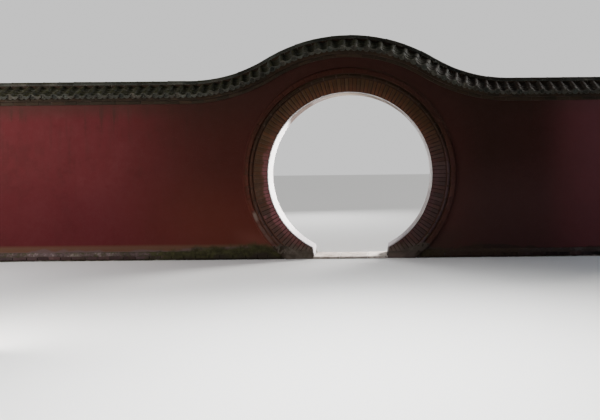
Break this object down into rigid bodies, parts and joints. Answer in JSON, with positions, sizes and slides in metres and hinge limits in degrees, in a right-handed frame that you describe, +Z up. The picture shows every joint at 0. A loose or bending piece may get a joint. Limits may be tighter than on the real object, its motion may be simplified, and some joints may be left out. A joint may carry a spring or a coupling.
{
  "type": "moon gate",
  "caption": "Moon gate: a round opening with a brick ring and thin hood courses, in a red plastered garden wall that rises in a hump under a tiled coping.",
  "frame": {"origin": "at ground level under the middle of the opening, halfway through the wall's thickness, which is the middle of the bounding box's bottom", "axes": "+X along the wall, to the right for a viewer in front, -Y out of the front face, +Z up"},
  "size_m": [13.4, 0.78, 4.2041],
  "materials": {
    "footing_stone": "rough dressed stone, pale grey with damp stains",
    "threshold_stone": "worn pale stone slab",
    "red_plaster": "dark red limewashed plaster, streaked and faded, damp at its foot",
    "ring_brick": "brown-grey bricks with lime joints, worn and mossy",
    "hood_brick": "brown-grey moulded bricks, worn pale in places",
    "lining_plaster": "pale pinkish-grey lime plaster",
    "corbel_brick": "brown-grey bricks with a reddish wash",
    "roof_mortar": "lime mortar",
    "roof_tile": "dark grey clay tiles, mossy",
    "ridge_tile": "dark grey clay tiles, mossy"
  },
  "bodies": {
    "root": {"footing_left": "footing_stone", "footing_right": "footing_stone", "threshold": "threshold_stone", "wall_left": "red_plaster", "wall_right": "red_plaster", "gate_wall_left": "red_plaster", "gate_wall_right": "red_plaster", "gate_wall_crown": "red_plaster", "ring_crown": "ring_brick", "ring_shoulder_left": "ring_brick", "ring_shoulder_right": "ring_brick", "ring_side_left": "ring_brick", "ring_side_right": "ring_brick", "ring_foot_left": "ring_brick", "ring_foot_right": "ring_brick", "hood_inner_front": "hood_brick", "hood_inner_back": "hood_brick", "hood_outer_front": "hood_brick", "hood_outer_back": "hood_brick", "lining_crown": "lining_plaster", "lining_side_left": "lining_plaster", "lining_side_right": "lining_plaster", "lining_jamb_left": "lining_plaster", "lining_jamb_right": "lining_plaster", "corbel_lower_left": "corbel_brick", "corbel_lower_hump": "corbel_brick", "corbel_lower_right": "corbel_brick", "corbel_upper_left": "corbel_brick", "corbel_upper_hump": "corbel_brick", "corbel_upper_right": "corbel_brick", "roof_bed_left": "roof_mortar", "roof_bed_hump": "roof_mortar", "roof_bed_right": "roof_mortar", "tiles_left_front": "roof_tile", "tiles_left_back": "roof_tile", "tiles_hump_front": "roof_tile", "tiles_hump_back": "roof_tile", "tiles_right_front": "roof_tile", "tiles_right_back": "roof_tile", "ridge_left": "ridge_tile", "ridge_hump": "ridge_tile", "ridge_right": "ridge_tile"}
  },
  "joints": []
}
